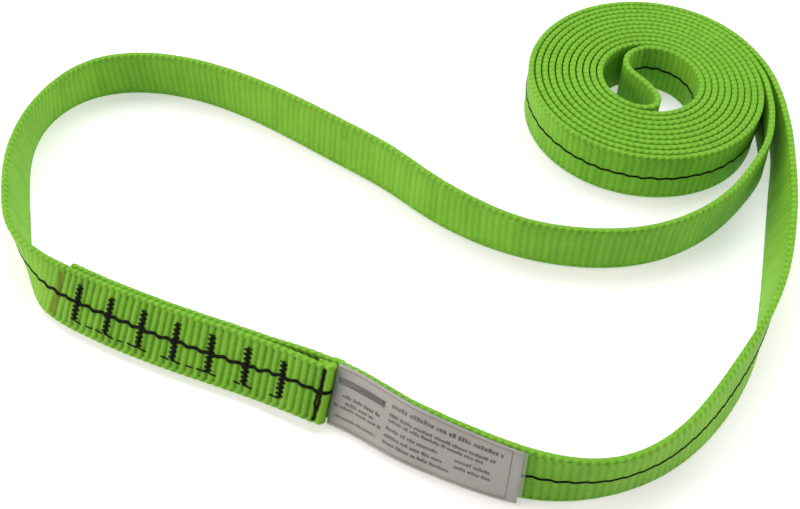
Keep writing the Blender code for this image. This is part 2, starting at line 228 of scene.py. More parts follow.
def spiral(turn, strand):
    # Centre line of one wound strand; strand 0 is the outer one of the pair, 1 the inner one
    level = 2.0 * turn / 360.0 + strand
    r = ROLL_R - HALF - LAYER * level + out_of_round(turn) * (1.0 - 0.06 * level)
    a = math.radians(turn)
    x = ROLL_X + CORE_SHIFT * level / 12.0 + r * math.cos(a)
    y = ROLL_Y + r * math.sin(a)
    return (x, y, 0.0)


def build_path():
    # The closed tape, from the end of the outer strand in the core all round to that end again
    marks = {}
    start = [spiral(OUTER_END_TURN - STEP_DEG * i, 0) for i in (2, 1, 0)]
    core = [(ROLL_X + x, ROLL_Y + y, 0.0) for x, y in CORE]
    after = [spiral(INNER_END_TURN - STEP_DEG * i, 1) for i in (0, 1, 2)]
    dense, index = natural_spline(start + core + after, 0.4)
    path = [dense[i] for i in range(index[2], index[2 + len(core) + 1])]
    marks["inner_from"] = len(path)
    path += [np.array(spiral(turn, 1)) for turn in range(INNER_END_TURN, LEAVE_TURN, -1)]
    marks["loop_from"] = len(path)
    lead = [spiral(LEAVE_TURN + STEP_DEG * i, 1) for i in (2, 1, 0)]
    tail = [spiral(LEAVE_TURN + STEP_DEG * i, 0) for i in (0, 1, 2)]
    dense, index = natural_spline(lead + list(ROUTE) + tail, 0.8)
    path += [dense[i] for i in range(index[2], index[2 + len(ROUTE) + 1])]
    marks["outer_from"] = len(path)
    path += [np.array(spiral(turn, 0)) for turn in range(LEAVE_TURN, OUTER_END_TURN + 1)]
    return np.array(path), marks


PATH, MARKS = build_path()
PATH[:, 0] -= MIDDLE[0]
PATH[:, 1] -= MIDDLE[1]
PLACE = np.concatenate([[0.0], np.cumsum(np.linalg.norm(np.diff(PATH[:, :2], axis=0), axis=1))])
TANGENT = np.gradient(PATH[:, :2], PLACE, axis=0)
TANGENT /= np.linalg.norm(TANGENT, axis=1)[:, None]
SWING_LINE = ROLL_Y - MIDDLE[1] + SWING_Y


def smooth_step(a, b, x):
    u = np.clip((np.asarray(x, float) - a) / (b - a), 0.0, 1.0)
    return u * u * (3.0 - 2.0 * u)


def nearest(x, y):
    gap = np.hypot(PATH[:, 0] - (x - MIDDLE[0]), PATH[:, 1] - (y - MIDDLE[1]))
    gap[: MARKS["loop_from"]] = 1e9
    gap[MARKS["outer_from"]:] = 1e9
    return float(PLACE[int(np.argmin(gap))])


S_SPLICE = nearest(*SPLICE_FROM)
S_HEM = S_SPLICE + SPLICE_LENGTH
S_LABEL = S_HEM + LABEL_FROM_HEM


def no_shift(s):
    # The layer offset and the height shift of tape that lies alone
    return np.zeros_like(np.asarray(s, float))


def front_layer(s):
    half = (THICK + LAYER_GAP) / 2
    rise = half * smooth_step(S_SPLICE - RAMP, S_SPLICE, s)
    return rise + (HEM_FRONT - half) * smooth_step(S_HEM - HEM_RETURN - HEM_SPREAD, S_HEM - HEM_RETURN, s)


def back_layer(s):
    half = (THICK + LAYER_GAP) / 2
    start = -half * smooth_step(S_SPLICE - RAMP, S_SPLICE, s)
    down = start + (HEM_BACK + half) * smooth_step(S_HEM - HEM_RETURN - HEM_SPREAD, S_HEM - HEM_RETURN, s)
    return down * (1.0 - smooth_step(S_HEM + 2.0, S_HEM + 2.0 + 1.4 * RAMP, s))


def back_rise(s):
    # The back layer is sewn a little higher than the front one
    fade_out = 1.0 - smooth_step(S_HEM, S_HEM + RAMP, s)
    return BACK_RISE * fade_out * smooth_step(S_SPLICE - RAMP, S_SPLICE, s)


def label_layer(s):
    # Middle of the label, a little clear of the outer face of the back layer
    return back_layer(s) + HALF + 1.5 + 0.9 * smooth_step(S_LABEL, S_LABEL + 30.0, s)


def frames(s):
    # Floor point, direction of travel, face normal (outer side) and up direction at lengths s
    s = np.asarray(s, float)
    x = np.interp(s, PLACE, PATH[:, 0])
    y = np.interp(s, PLACE, PATH[:, 1])
    lean = np.radians(np.interp(s, PLACE, PATH[:, 2]))
    tx = np.interp(s, PLACE, TANGENT[:, 0])
    ty = np.interp(s, PLACE, TANGENT[:, 1])
    size = np.hypot(tx, ty)
    tx, ty = tx / size, ty / size
    rest = np.abs(np.sin(lean)) * (HALF - back_layer(s)) - np.cos(lean) * back_rise(s)
    rest = np.maximum(rest, HALF * np.abs(np.sin(lean)))
    zero = np.zeros_like(s)
    base = np.stack([x, y, rest], -1)
    along = np.stack([tx, ty, zero], -1)
    normal = np.stack([np.cos(lean) * ty, -np.cos(lean) * tx, -np.sin(lean)], -1)
    up = np.stack([np.sin(lean) * ty, -np.sin(lean) * tx, np.cos(lean)], -1)
    return base, along, normal, up


def crossing(lo, hi):
    for i in range(lo, hi):
        a = PATH[i, 1] - SWING_LINE
        b = PATH[i + 1, 1] - SWING_LINE
        if a * b <= 0.0:
            return PLACE[i] + (PLACE[i + 1] - PLACE[i]) * abs(a) / (abs(a) + abs(b) + 1e-9)
    raise ValueError("the strand does not cross the swing line")


S_INNER_SWING = crossing(MARKS["loop_from"] - 5, MARKS["loop_from"] + 80)
S_OUTER_SWING = crossing(MARKS["outer_from"] - 80, MARKS["outer_from"] + 5)


class Track:
    # A run of tape: path length, layer offset, height shift, length of tape, and facing in the plane
    # of path and offset
    def __init__(self, s, t, rise, tape, facing_s=None, facing_t=None):
        self.s = np.asarray(s, float)
        self.t = np.asarray(t, float)
        self.rise = np.asarray(rise, float)
        self.tape = np.asarray(tape, float)
        self.fs = np.zeros_like(self.s) if facing_s is None else np.asarray(facing_s, float)
        self.ft = np.ones_like(self.s) if facing_t is None else np.asarray(facing_t, float)
        self.base, self.along, self.normal, self.up = frames(self.s)

    def place(self, height, depth):
        # height and depth have one row for each station; depth is measured from the layer's middle
        height = np.asarray(height, float)
        depth = np.asarray(depth, float)
        go = self.fs[:, None] * depth
        out = self.t[:, None] + self.ft[:, None] * depth
        high = height + self.rise[:, None]
        spot = self.base[:, None, :] + self.along[:, None, :] * go[:, :, None]
        spot = spot + self.normal[:, None, :] * out[:, :, None] + self.up[:, None, :] * high[:, :, None]
        return spot * MM


def stations(a, b):
    # Whole fractions of a rib, with the two ends
    first = math.floor(a / STATION_STEP + 1e-6) + 1
    last = math.ceil(b / STATION_STEP - 1e-6) - 1
    inner = [i * STATION_STEP for i in range(first, last + 1)]
    return np.array([a] + inner + [b])


def rib_line(s):
    # Nearest valley between two ribs
    return (round(s / RIB - 0.5) + 0.5) * RIB


def plain_track(a, b, layer=no_shift, rise=no_shift):
    s = stations(a, b)
    return Track(s, layer(s), rise(s), s)


# ---------------------------------------------------------------- meshes
def add_uv(mesh, name, values):
    layer = mesh.uv_layers.new(name=name)
    layer.data.foreach_set("uv", np.asarray(values, np.float32).ravel())


def add_value(mesh, name, values):
    # One number for each point, which the materials read by its name
    layer = mesh.attributes.new(name, "FLOAT", "POINT")
    layer.data.foreach_set("value", np.asarray(values, np.float32).ravel())


def make_mesh(name, verts, faces, look, flat_faces=()):
    mesh = bpy.data.meshes.new(name)
    mesh.from_pydata(np.asarray(verts).tolist(), [], faces)
    mesh.polygons.foreach_set("use_smooth", [True] * len(mesh.polygons))
    for i in flat_faces:
        mesh.polygons[i].use_smooth = False
    mesh.materials.append(look)
    obj = bpy.data.objects.new(name, mesh)
    bpy.context.scene.collection.objects.link(obj)
    return obj


def section_edge(angles, start, reach):
    # One rounded edge of the section; reach is positive at the top edge and negative at the bottom one
    rows = []
    for a in angles:
        c, s = math.cos(a), math.sin(a)
        side = math.copysign(abs(s) ** 0.8, s)
        rows.append((start + reach * abs(c) ** 0.8, HALF * side, math.copysign(c, reach), s))
    return rows


def tape_section():
    # Rounded section, outer face upwards first: height, depth, outward direction and distance round it
    face = [1.3, 1.9, 2.4, 3.4, 8.0, 12.5, 17.0, 21.6, 22.6, 23.1, 23.7]
    turn = np.radians([67.5, 45.0, 22.5, 0.0, -22.5, -45.0, -67.5])
    rows = [(h, HALF, 0.0, 1.0) for h in face]
    rows += section_edge(turn, WIDTH - EDGE_ROUND, EDGE_ROUND)
    rows += [(h, -HALF, 0.0, -1.0) for h in reversed(face)]
    rows += section_edge(turn[::-1], EDGE_ROUND, -EDGE_ROUND)
    rows = np.array(rows)
    step = np.hypot(*(np.roll(rows[:, :2], -1, axis=0) - rows[:, :2]).T)
    around = np.concatenate([[0.0], np.cumsum(step)])
    return rows[:, 0], rows[:, 1], rows[:, 2], rows[:, 3], around


SEC_H, SEC_D, SEC_OH, SEC_OD, SEC_W = tape_section()
RING = len(SEC_H)
DRAW = np.random.RandomState(11)
RIB_COUNT = 1400
RIB_VARY = DRAW.uniform(0.72, 1.08, RIB_COUNT)
RIB_SHIFT = DRAW.uniform(-0.07, 0.07, RIB_COUNT)
EDGE_VARY = DRAW.uniform(0.55, 1.15, (2, RIB_COUNT))
EDGE_WAVE = DRAW.uniform(-1.0, 1.0, RIB_COUNT)
PIT_VARY = np.clip(DRAW.uniform(-0.3, 1.5, RIB_COUNT), 0.0, 1.0)
# Strength of the painted shade in the rib valleys on plain tape, against full strength on the splice
PLAIN_VALLEY_SHADE = 0.48


def by_rib(table, tape):
    return np.interp(tape / RIB, np.arange(RIB_COUNT), table)


def sewn_at(s):
    # 1 in the stitched splice, 0 in the plain tape
    return smooth_step(S_SPLICE - 8.0, S_SPLICE + 4.0, s) * (1.0 - smooth_step(S_HEM + 4.0, S_HEM + 20.0, s))


def rib_depth_at(s):
    # The stitched splice draws the ribs up into stronger relief
    return RIB_DEPTH + (SPLICE_RIB_DEPTH - RIB_DEPTH) * sewn_at(s)


def rib_profile(phase):
    # 1 on the crest of a rib, 0 in the valley; the valley is narrower than the crest
    wave = 0.5 + 0.5 * np.cos(2.0 * math.pi * phase)
    return wave ** 0.7


def relief(track):
    # Depth below the full section, crest value, edge value and pit value, for every point of every ring
    tape = track.tape[:, None]
    sewn = sewn_at(track.s)[:, None]
    rib_depth = rib_depth_at(track.s)[:, None]
    phase = tape / RIB + by_rib(RIB_SHIFT, tape) * np.sin(SEC_H / WIDTH * math.pi)[None, :]
    crest_face = rib_profile(phase)
    off_edge = np.minimum(SEC_H, WIDTH - SEC_H)[None, :]
    # The ribs end before the edge, in a row of pits; the selvedge beyond is a fine cord
    edge = 1.0 - smooth_step(1.35, 2.3, off_edge)
    pit_row = np.exp(-((off_edge - 2.0) / 0.6) ** 2)
    side = (SEC_D / HALF)[None, :]
    pit_phase = tape / RIB + np.where(side > 0, 0.0, 0.5)
    pit = pit_row * np.clip(1.3 - 2.4 * rib_profile(pit_phase), 0.0, 1.0) * by_rib(PIT_VARY, tape)
    slant = 0.3 * side
    crest_out = rib_profile(tape / RIB + slant)
    crest_in = rib_profile(tape / RIB + 0.5 + slant)
    pick = smooth_step(-0.3, 0.3, side)
    vary = by_rib(EDGE_VARY[0], tape) * pick + by_rib(EDGE_VARY[1], tape) * (1.0 - pick)
    crest_edge = crest_out * pick + crest_in * (1.0 - pick)
    # For colour only: 1 on the crests and lower in the valleys, painted shade in the rib valleys, weaker on
    # plain tape than on the splice
    face_shade_level = 1.0 - (1.0 - crest_face) * (PLAIN_VALLEY_SHADE + (1.0 - PLAIN_VALLEY_SHADE) * sewn)
    crest = face_shade_level * (1.0 - edge) + crest_edge * edge
    depth = rib_depth * by_rib(RIB_VARY, tape) * (1.0 - crest_face) * (1.0 - edge)
    cord = EDGE_DEPTH + (SPLICE_EDGE_DEPTH - EDGE_DEPTH) * sewn
    depth = depth + (cord * (1.0 - crest_edge) - EDGE_SWELL * np.abs(side) ** 3) * vary * edge
    depth = depth + PIT_DEPTH * vary * pit
    return depth, crest, np.broadcast_to(edge, crest.shape), pit


def flare_at(s):
    # The hem stands a little higher beyond its stitches
    return smooth_step(S_HEM - 4.6, S_HEM - 2.2, s) * (1.0 - smooth_step(S_HEM + 0.5, S_HEM + 1.5, s))


def tape_piece(name, track, press=None):
    # Ribbed tape along a track; press(s, height) is how far the outer face is pulled in by stitches
    count = len(track.s)
    depth, crest, edge, pit = relief(track)
    flare = flare_at(track.s)[:, None]
    if press is not None:
        pull = press(track.s[:, None], SEC_H[None, :])
        depth = depth + pull * np.clip(SEC_OD, 0.0, 1.0)[None, :]
    wave = 0.12 * by_rib(EDGE_WAVE, track.tape)[:, None] * smooth_step(6.0, 25.0, SEC_H)[None, :]
    height = SEC_H[None, :] - SEC_OH[None, :] * depth + np.minimum(wave, 0.0)
    height = height + flare * (0.05 * np.maximum(SEC_H - WIDTH / 2, 0.0))[None, :]
    inward = SEC_D[None, :] - SEC_OD[None, :] * depth
    verts = track.place(height, inward).reshape(-1, 3)
    i = np.arange(count - 1)[:, None] * RING
    j = np.arange(RING)[None, :]
    k = (j + 1) % RING
    quads = np.stack([i + j, i + RING + j, i + RING + k, i + k], -1).reshape(-1, 4)
    faces = quads.tolist()
    faces.append(list(range(RING)))
    end = (count - 1) * RING
    faces.append(list(range(end + RING - 1, end - 1, -1)))
    caps_at = (len(faces) - 2, len(faces) - 1)
    obj = make_mesh(name, verts, faces, LOOKS["webbing"], caps_at)
    mesh = obj.data
    add_value(mesh, "crest", crest)
    add_value(mesh, "edge", edge)
    add_value(mesh, "pit", pit)
    # The hem's raise, which the material also uses for a painted highlight
    add_value(mesh, "fold", np.broadcast_to(flare, crest.shape))
    u = np.stack([track.tape[:-1], track.tape[1:], track.tape[1:], track.tape[:-1]], -1)
    w = np.stack([SEC_W[:-1], SEC_W[:-1], SEC_W[1:], SEC_W[1:]], -1)
    u = np.broadcast_to(u[:, None, :], (count - 1, RING, 4))
    w = np.broadcast_to(w[None, :, :], (count - 1, RING, 4))
    band = np.stack([u, w], -1).reshape(-1, 2)
    caps = np.stack([np.full(2 * RING, track.tape[0]), np.tile(SEC_W[:-1], 2)], -1)
    add_uv(mesh, "band", np.concatenate([band, caps]) * MM)
    add_bake_rows(mesh, track.tape, u, w)
    return obj


def add_bake_rows(mesh, tape, u, w):
    # The long tape laid out as rows that fill a square
    around = SEC_W[-1]
    length = tape[-1] - tape[0]
    rows = max(1, int(round(math.sqrt(length / around))))
    row_length = length / rows
    row = np.minimum(((u.mean(-1) - tape[0]) / row_length).astype(int), rows - 1)[..., None]
    x = (u - tape[0] - row * row_length) / row_length
    y = (row + 0.02 + 0.96 * w / around) / rows
    flat = np.stack([0.01 + 0.98 * x, y], -1).reshape(-1, 2)
    caps = np.full((2 * RING, 2), 0.004)
    caps[:, 0] += np.tile(np.cos(np.arange(RING) / RING * 6.283), 2) * 0.002
    caps[:, 1] += np.tile(np.sin(np.arange(RING) / RING * 6.283), 2) * 0.002
    add_uv(mesh, "OFBake", np.concatenate([flat, caps]))


def swept(name, rings, look):
    # Closed rings of points, one after the other, with both ends capped; several runs make one object
    verts = []
    faces = []
    start = 0
    for run in rings:
        run = np.asarray(run)
        count, size = run.shape[:2]
        verts.append(run.reshape(-1, 3))
        i = start + np.arange(count - 1)[:, None] * size
        j = np.arange(size)[None, :]
        k = (j + 1) % size
        faces += np.stack([i + j, i + size + j, i + size + k, i + k], -1).reshape(-1, 4).tolist()
        faces.append(list(range(start, start + size)))
        end = start + (count - 1) * size
        faces.append(list(range(end + size - 1, end - 1, -1)))
        start += count * size
    return make_mesh(name, np.concatenate(verts), faces, look)


def thread_rings(points, radius):
    # Round thread along points in metres
    pts = np.asarray(points, float)
    tangent = np.gradient(pts, axis=0)
    tangent /= np.linalg.norm(tangent, axis=1)[:, None] + 1e-12
    seed = np.array([0.13, 0.21, 0.97])
    side = np.cross(tangent[0], seed)
    side /= np.linalg.norm(side)
    rings = []
    for p, t in zip(pts, tangent):
        side = side - t * float(np.dot(side, t))
        side /= np.linalg.norm(side)
        other = np.cross(t, side)
        a = -np.arange(THREAD_SIDES) * 2.0 * math.pi / THREAD_SIDES
        rings.append(p + radius * MM * (np.cos(a)[:, None] * side + np.sin(a)[:, None] * other))
    return np.array(rings)


def front_spot(s, height, lift):
    # Points on the outer face of the front layer, raised by lift
    s = np.asarray(s, float)
    run = Track(s, front_layer(s), no_shift(s), s)
    return run.place(np.asarray(height, float)[:, None], (HALF + np.asarray(lift, float))[:, None])[:, 0, :]


# ---------------------------------------------------------------- materials
class Nodes:
    # Short helper for building a material's node tree
    def __init__(self, name):
        self.mat = bpy.data.materials.new(name)
        self.mat.use_nodes = True
        self.tree = self.mat.node_tree
        self.bsdf = self.tree.nodes["Principled BSDF"]

    def add(self, kind, **settings):
        node = self.tree.nodes.new(kind)
        for key, value in settings.items():
            setattr(node, key, value)
        return node

    def link(self, a, b):
        self.tree.links.new(a, b)

    def put(self, socket, value):
        if isinstance(value, bpy.types.NodeSocket):
            self.link(value, socket)
        else:
            socket.default_value = value

    def math(self, op, a, b=0.0, c=0.0, clamp=False):
        node = self.add("ShaderNodeMath", operation=op, use_clamp=clamp)
        self.put(node.inputs[0], a)
        self.put(node.inputs[1], b)
        self.put(node.inputs[2], c)
        return node.outputs[0]

    def mix(self, fac, a, b):
        node = self.add("ShaderNodeMix", data_type="RGBA", blend_type="MIX")
        self.put(node.inputs[0], fac)
        self.put(node.inputs[6], a)
        self.put(node.inputs[7], b)
        return node.outputs[2]

    def noise(self, vector, scale, detail=2.0, rough=0.5):
        node = self.add("ShaderNodeTexNoise")
        self.put(node.inputs["Vector"], vector)
        node.inputs["Scale"].default_value = scale
        node.inputs["Detail"].default_value = detail
        node.inputs["Roughness"].default_value = rough
        return node.outputs["Fac"]

    def remap(self, value, lo, hi, to_lo, to_hi):
        node = self.add("ShaderNodeMapRange")
        self.put(node.inputs["Value"], value)
        node.inputs["From Min"].default_value = lo
        node.inputs["From Max"].default_value = hi
        node.inputs["To Min"].default_value = to_lo
        node.inputs["To Max"].default_value = to_hi
        return node.outputs["Result"]

    def attribute(self, name):
        node = self.add("ShaderNodeAttribute")
        node.attribute_name = name
        return node.outputs["Fac"]

    def bump(self, height, strength, distance):
        node = self.add("ShaderNodeBump")
        node.inputs["Strength"].default_value = strength
        node.inputs["Distance"].default_value = distance
        self.put(node.inputs["Height"], height)
        self.link(node.outputs["Normal"], self.bsdf.inputs["Normal"])


def webbing_look():
    n = Nodes("webbing_weave")
    uv = n.add("ShaderNodeUVMap", uv_map="band").outputs["UV"]
    part = n.add("ShaderNodeSeparateXYZ")
    n.link(uv, part.inputs[0])
    u, w = part.outputs[0], part.outputs[1]
    place = n.add("ShaderNodeTexCoord").outputs["Object"]
    crest = n.attribute("crest")
    edge = n.attribute("edge")
    pit = n.attribute("pit")
    fold = n.attribute("fold")
    # Warp yarns: fine lines along the tape, shifted by half a yarn from rib to rib
    rib = n.math("DIVIDE", u, RIB * MM)
    rib_id = n.math("FLOOR", n.math("ADD", rib, 0.5))
    odd = n.math("MULTIPLY", n.math("MODULO", rib_id, 2.0), 0.5)
    jitter = n.math("MULTIPLY", n.noise(uv, 900.0, 1.0), 0.5)
    warp = n.math("ADD", n.math("ADD", n.math("DIVIDE", w, 0.00082), odd), jitter)
    warp = n.math("COSINE", n.math("MULTIPLY", warp, 2 * math.pi))
    warp = n.math("ADD", n.math("MULTIPLY", warp, 0.5), 0.5)
    # Each rib has its own shade, and yarns vary along the tape
    shade = n.add("ShaderNodeTexWhiteNoise", noise_dimensions="1D")
    n.link(rib_id, shade.inputs["W"])
    stretch = n.add("ShaderNodeMapping")
    n.link(uv, stretch.inputs["Vector"])
    stretch.inputs["Scale"].default_value = (0.12, 1.0, 1.0)
    yarn = n.noise(stretch.outputs[0], 1300.0, 2.0, 0.6)
    fine = n.noise(uv, 2600.0, 2.0, 0.7)
    cloud = n.noise(place, 55.0, 3.0, 0.6)
    # Crests lighter and valleys darker by the crest value: painted shade in the rib valleys, on top of the
    # real relief; the noises add the yarns' random tone
    level = n.math("MULTIPLY", crest, 0.78)
    level = n.math("ADD", level, n.math("MULTIPLY", warp, 0.16))
    level = n.math("ADD", level, n.remap(shade.outputs["Value"], 0, 1, -0.1, 0.1))
    level = n.math("ADD", level, n.remap(yarn, 0.3, 0.7, -0.12, 0.12))
    level = n.math("ADD", level, n.remap(fine, 0.3, 0.7, -0.06, 0.06))
    level = n.math("ADD", level, n.remap(cloud, 0.3, 0.7, -0.14, 0.14), clamp=True)
    ramp = n.add("ShaderNodeValToRGB")
    n.link(level, ramp.inputs[0])
    ramp.color_ramp.elements[0].position = 0.0
    ramp.color_ramp.elements[0].color = (0.050, 0.195, 0.005, 1.0)
    ramp.color_ramp.elements[1].position = 1.0
    ramp.color_ramp.elements[1].color = (0.205, 0.515, 0.030, 1.0)
    middle = ramp.color_ramp.elements.new(0.5)
    middle.color = (0.142, 0.395, 0.015, 1.0)
    selvedge_tint_hem_highlight = n.mix(n.math("MULTIPLY", edge, 0.45), ramp.outputs[0], (0.215, 0.565, 0.035, 1.0))
    # Brighter lime on the raised hem strip beyond its stitches: painted highlight where the puffed hem
    # catches the light
    selvedge_tint_hem_highlight = n.mix(n.math("MULTIPLY", fold, 0.55), selvedge_tint_hem_highlight, (0.26, 0.60, 0.035, 1.0))
    # Darker between the cord beads of the selvedge: painted shade in the gaps between the beads
    colour = n.mix(n.math("MULTIPLY", n.math("MULTIPLY", edge, n.math("SUBTRACT", 1.0, crest)), 0.28),
                   selvedge_tint_hem_highlight, (0.030, 0.14, 0.004, 1.0))
    # Darker in the pits: painted shade in the row of pits below the selvedge
    colour = n.mix(n.math("MULTIPLY", pit, 0.65), colour, (0.018, 0.10, 0.003, 1.0))
    n.link(colour, n.bsdf.inputs["Base Color"])
    n.put(n.bsdf.inputs["Roughness"], n.remap(fine, 0.3, 0.7, 0.55, 0.72))
    n.bsdf.inputs["Specular IOR Level"].default_value = 0.26
    n.bsdf.inputs["Sheen Weight"].default_value = 0.06
    n.bsdf.inputs["Sheen Roughness"].default_value = 0.45
    n.bsdf.inputs["Sheen Tint"].default_value = (0.62, 0.95, 0.35, 1.0)
    height = n.math("ADD", n.math("MULTIPLY", warp, 0.6), n.math("MULTIPLY", yarn, 0.7))
    height = n.math("ADD", height, n.math("MULTIPLY", fine, 0.35))
    n.bump(height, 0.55, 0.00022)
    return n.mat


def yarn_look(name, colour, light, rough, scale):
    n = Nodes(name)
    place = n.add("ShaderNodeTexCoord").outputs["Object"]
    fibre = n.noise(place, scale, 3.0, 0.65)
    n.link(n.mix(n.remap(fibre, 0.35, 0.7, 0.0, 1.0), colour, light), n.bsdf.inputs["Base Color"])
    n.put(n.bsdf.inputs["Roughness"], n.remap(fibre, 0.3, 0.7, rough - 0.08, rough + 0.1))
    n.bsdf.inputs["Specular IOR Level"].default_value = 0.1
    n.bump(fibre, 0.5, 0.00015)
    return n.mat


def ink_look():
    n = Nodes("ink_stain")
    place = n.add("ShaderNodeTexCoord").outputs["Object"]
    blot = n.noise(place, 260.0, 3.0, 0.6)
    fibre = n.noise(place, 1500.0, 2.0, 0.6)
    n.link(n.mix(blot, (0.17, 0.13, 0.008, 1.0), (0.30, 0.27, 0.03, 1.0)), n.bsdf.inputs["Base Color"])
    n.bsdf.inputs["Roughness"].default_value = 0.75
    n.bsdf.inputs["Specular IOR Level"].default_value = 0.15
    cover = n.math("MULTIPLY", n.attribute("cover"), n.remap(fibre, 0.3, 0.7, 0.45, 0.85), clamp=True)
    n.link(cover, n.bsdf.inputs["Alpha"])
    return n.mat


def label_look():
    n = Nodes("label_stock")
    place = n.add("ShaderNodeTexCoord").outputs["Object"]
    cloud = n.noise(place, 90.0, 3.0, 0.5)
    grain = n.noise(place, 2400.0, 2.0, 0.6)
    colour = n.mix(cloud, (0.275, 0.295, 0.270, 1.0), (0.330, 0.350, 0.325, 1.0))
    colour = n.mix(n.remap(grain, 0.35, 0.7, 0.0, 0.25), colour, (0.46, 0.455, 0.44, 1.0))
    n.link(colour, n.bsdf.inputs["Base Color"])
    n.put(n.bsdf.inputs["Roughness"], n.remap(grain, 0.3, 0.7, 0.42, 0.55))
    n.bump(grain, 0.15, 0.0001)
    return n.mat


def film_look():
    n = Nodes("clear_film")
    place = n.add("ShaderNodeTexCoord").outputs["Object"]
    haze = n.noise(place, 60.0, 2.0, 0.5)
    n.link(n.mix(haze, (0.72, 0.74, 0.73, 1.0), (0.86, 0.87, 0.86, 1.0)), n.bsdf.inputs["Base Color"])
    n.bsdf.inputs["Roughness"].default_value = 0.16
    n.bsdf.inputs["Specular IOR Level"].default_value = 0.6
    n.bsdf.inputs["Coat Weight"].default_value = 0.5
    n.bsdf.inputs["Coat Roughness"].default_value = 0.08
    n.put(n.bsdf.inputs["Alpha"], n.remap(haze, 0.3, 0.7, 0.05, 0.11))
    n.bump(haze, 0.35, 0.0008)
    return n.mat


def print_look(name, colour, light):
    n = Nodes(name)
    place = n.add("ShaderNodeTexCoord").outputs["Object"]
    speck = n.noise(place, 3000.0, 2.0, 0.6)
    n.link(n.mix(n.remap(speck, 0.4, 0.75, 0.0, 1.0), colour, light), n.bsdf.inputs["Base Color"])
    n.put(n.bsdf.inputs["Roughness"], n.remap(speck, 0.3, 0.7, 0.5, 0.65))
    return n.mat


def floor_look():
    n = Nodes("floor")
    place = n.add("ShaderNodeTexCoord").outputs["Object"]
    tone = n.noise(place, 3.0, 2.0, 0.5)
    n.link(n.mix(tone, (0.68, 0.68, 0.68, 1.0), (0.71, 0.71, 0.71, 1.0)), n.bsdf.inputs["Base Color"])
    n.bsdf.inputs["Roughness"].default_value = 0.9
    n.bsdf.inputs["Emission Color"].default_value = (1.0, 1.0, 1.0, 1.0)
    n.bsdf.inputs["Emission Strength"].default_value = 0.44
    return n.mat


TRACER_DARK = (0.003, 0.006, 0.002, 1.0)
TRACER_LIGHT = (0.010, 0.015, 0.005, 1.0)
THREAD_DARK = (0.003, 0.004, 0.003, 1.0)
THREAD_LIGHT = (0.013, 0.015, 0.010, 1.0)
LOOKS = {
    "webbing": webbing_look(),
    "tracer": yarn_look("tracer_yarn", TRACER_DARK, TRACER_LIGHT, 0.75, 1800.0),
    "thread": yarn_look("stitch_thread", THREAD_DARK, THREAD_LIGHT, 0.7, 2400.0),
    "ink": ink_look(),
    "label": label_look(),
    "film": film_look(),
    "border": print_look("label_print", (0.22, 0.09, 0.07, 1.0), (0.34, 0.20, 0.17, 1.0)),
    "bars": print_look("label_bars", (0.02, 0.02, 0.022, 1.0), (0.06, 0.06, 0.065, 1.0)),
}

# ---------------------------------------------------------------- the tape, piece by piece
EXIT_LOOP = 13.0
EXIT_ROLL = 13.0
UPPER_LEG_END = (-157.0, -11.0)
YARN_IN_ROLL = 345.0
YARN_IN_CORE = 62.0
YARN_FROM_FOLD = 14.0
TO_END = 1e9
S_TACKS = [S_SPLICE + TACK_FIRST + TACK_PITCH * i for i in range(TACK_COUNT)]
TACK_LOW = (WIDTH - TACK_HEIGHT) / 2
TACK_TOP = TACK_LOW + TACK_HEIGHT
S_STITCH = S_HEM - 3.6


def stitch_pull(s, height):
    # Stitches pull the outer face in
    pull = np.zeros(np.broadcast(s, height).shape)
    above = smooth_step(TACK_LOW - 2.0, TACK_LOW + 1.5, height)
    span = above * (1.0 - smooth_step(TACK_TOP - 1.5, TACK_TOP + 2.0, height))
    for place in S_TACKS:
        pull = pull + 0.22 * np.exp(-((s - place) / 1.7) ** 2) * span
    pull = pull + 0.5 * np.exp(-((s - S_STITCH) / 1.1) ** 2)
    return pull


def hem_track(s_from):
    # Front layer, fold and return leg as one run
    middle = (HEM_FRONT + HEM_MID) / 2
    radius = (HEM_FRONT - HEM_MID) / 2
    s_turn = S_HEM - radius - HALF
    line_s = list(stations(s_from, s_turn))
    line_t = list(front_layer(np.array(line_s)))
    for i in range(1, 16):
        a = math.pi * i / 16
        line_s.append(s_turn + radius * math.sin(a))
        line_t.append(middle + radius * math.cos(a))
    back = np.arange(s_turn, S_HEM - HEM_RETURN, -STATION_STEP)
    line_s += list(back)
    line_t += [HEM_MID] * len(back)
    s = np.array(line_s)
    t = np.array(line_t)
    tape = s_from + np.concatenate([[0.0], np.cumsum(np.hypot(np.diff(s), np.diff(t)))])
    ds = np.gradient(s, tape)
    dt = np.gradient(t, tape)
    size = np.hypot(ds, dt)
    return Track(s, t, no_shift(s), tape, -dt / size, ds / size)


def declare(obj, nodes, body):
    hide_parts(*nodes)
    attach(obj, body)


s_in_loop = rib_line(S_INNER_SWING + EXIT_LOOP)
s_in_roll = rib_line(S_INNER_SWING - EXIT_ROLL)
s_out_loop = rib_line(S_OUTER_SWING - EXIT_LOOP)
s_out_roll = rib_line(S_OUTER_SWING + EXIT_ROLL)
s_mid_upper = rib_line(nearest(*UPPER_LEG_END))
s_core = rib_line(float(PLACE[MARKS["inner_from"]]))

upper_track = plain_track(s_in_loop, s_mid_upper)
front_track = hem_track(s_mid_upper)
back_track = plain_track(S_SPLICE, s_out_loop, back_layer, back_rise)
inner_track = plain_track(s_core, s_in_roll)
outer_track = plain_track(s_out_roll, float(PLACE[-1]))
core_track = plain_track(0.0, s_core)
exit_in_track = plain_track(s_in_roll, s_in_loop)
exit_out_track = plain_track(s_out_loop, s_out_roll)

web_upper = tape_piece("webbing_upper_leg", upper_track)
web_front = tape_piece("webbing_splice_front", front_track, stitch_pull)
web_back = tape_piece("webbing_lower_leg", back_track)
web_inner = tape_piece("webbing_roll_inner", inner_track)
web_outer = tape_piece("webbing_roll_outer", outer_track)
web_core = tape_piece("webbing_core_fold", core_track)
web_exit_in = tape_piece("webbing_exit_inner", exit_in_track)
web_exit_out = tape_piece("webbing_exit_outer", exit_out_track)


